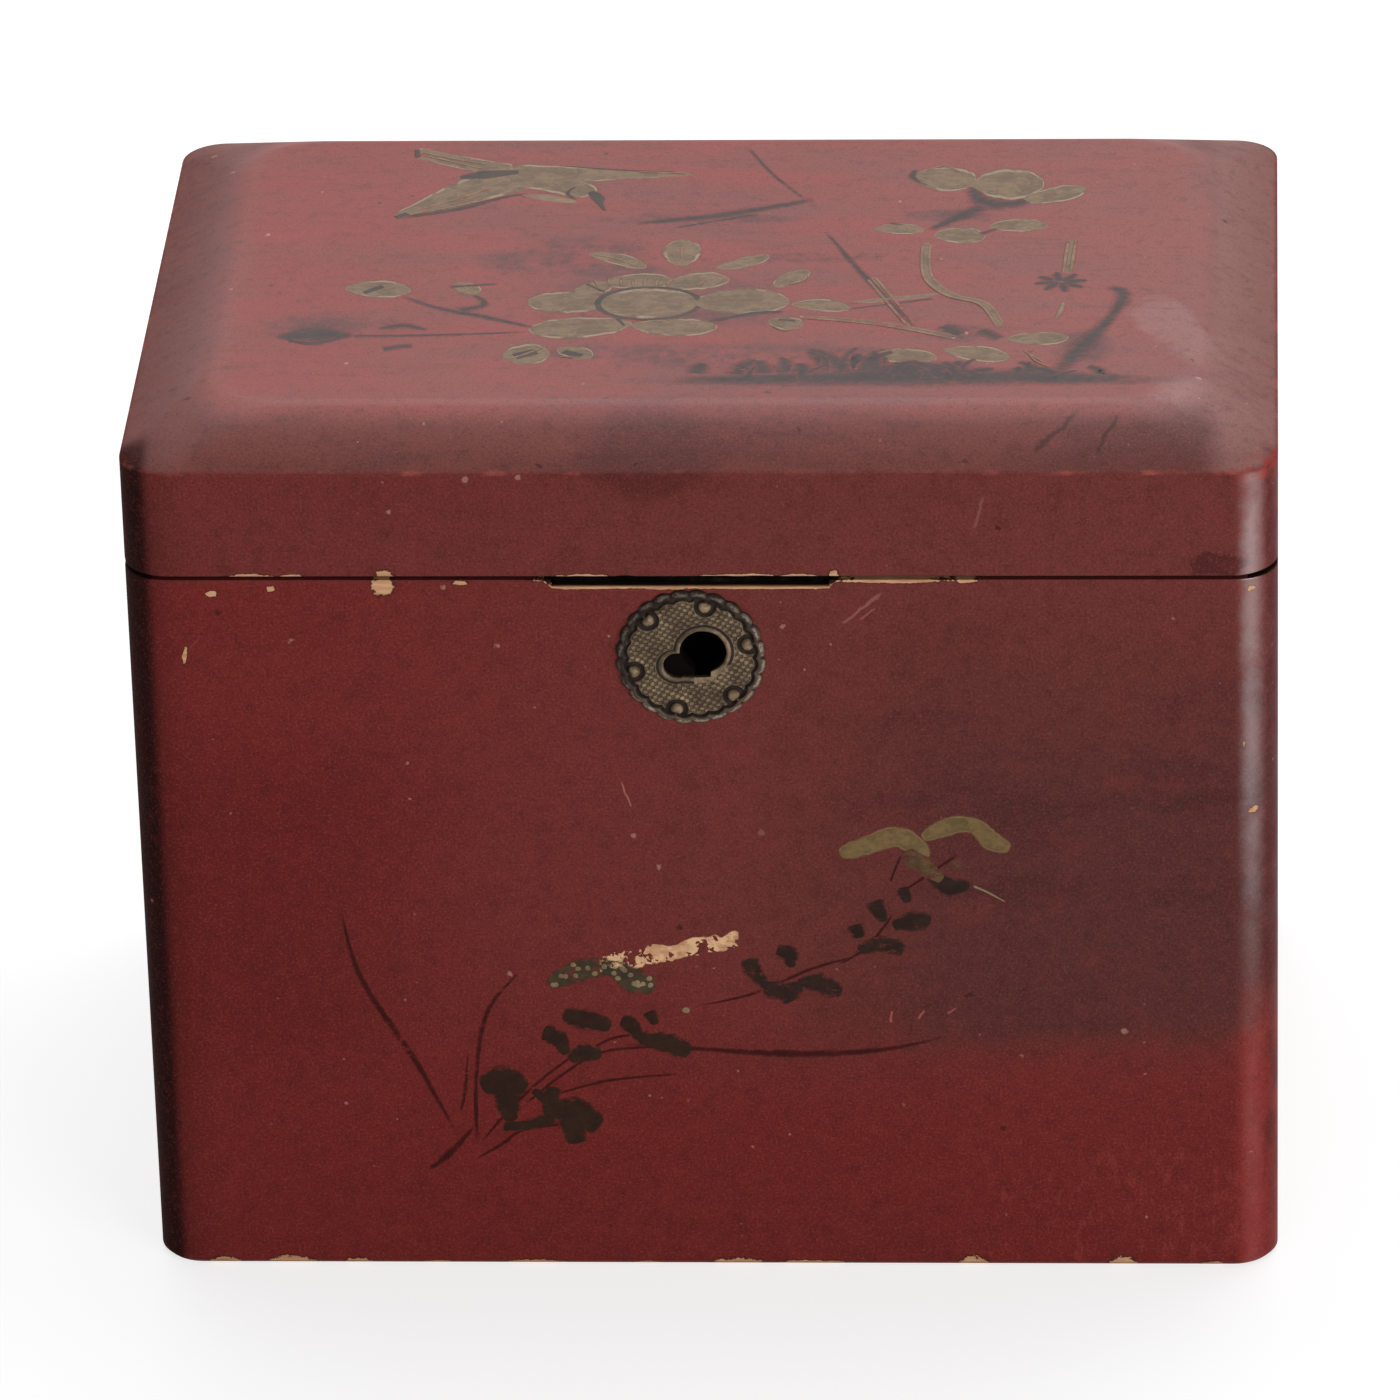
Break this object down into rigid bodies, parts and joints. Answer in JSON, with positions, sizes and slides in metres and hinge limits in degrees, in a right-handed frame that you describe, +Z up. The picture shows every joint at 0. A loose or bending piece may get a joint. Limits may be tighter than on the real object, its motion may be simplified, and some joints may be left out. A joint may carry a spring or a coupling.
{
  "type": "tea caddy",
  "caption": "Red-lacquered wooden tea caddy with a hinged cushion-topped lid, round brass escutcheon, box lock, tin liner and knobbed inner lid.",
  "frame": {"origin": "middle of the flat underside, on the surface that the caddy stands on", "axes": "+X to the right along the front, +Y to the back, +Z up; the escutcheon faces -Y"},
  "size_m": [0.16, 0.1107, 0.1318],
  "materials": {
    "lacquer": "aged red lacquer, semi-matt",
    "bamboo": "bare",
    "tinplate": "dull tinned sheet",
    "brass": "tarnished",
    "spring_steel": "blued strip",
    "iron": "plain wire"
  },
  "bodies": {
    "case": {"front_board": "lacquer", "back_board": "lacquer", "left_board": "lacquer", "right_board": "lacquer", "bottom_board": "lacquer", "box_corner_pegs": "bamboo", "tin_liner": "tinplate", "hinge_leaf_box_left": "brass", "hinge_leaf_box_right": "brass", "hinge_pin_left": "iron", "hinge_pin_right": "iron", "hinge_screws_box": "brass", "lock_plate": "brass", "lock_case": "brass", "lock_posts": "brass", "lock_spring": "spring_steel", "lock_screws": "brass", "escutcheon": "brass"},
    "lid": {"lid_top_board": "lacquer", "lid_front_rail": "lacquer", "lid_back_rail": "lacquer", "lid_left_rail": "lacquer", "lid_right_rail": "lacquer", "lid_corner_pegs": "bamboo", "hinge_leaf_lid_left": "brass", "hinge_leaf_lid_right": "brass", "hinge_screws_lid": "brass", "link_plate": "brass", "link_plate_screws": "brass"},
    "inner_lid": {"inner_lid_board": "lacquer", "inner_lid_knob": "lacquer"},
    "bolt": {"lock_bolt": "brass"}
  },
  "joints": [
    {"name": "lid_hinge", "type": "hinge", "parent": "case", "child": "lid", "pos_m": [0, 0.05255, 0.11015], "axis": [-1, 0, 0], "range_deg": [0, 100]},
    {"name": "inner_lid_lift", "type": "slide", "parent": "case", "child": "inner_lid", "axis": [0, 0, 1], "range_m": [0, 0.012]},
    {"name": "bolt_slide", "type": "slide", "parent": "case", "child": "bolt", "axis": [1, 0, 0], "range_m": [0, 0.004]}
  ]
}
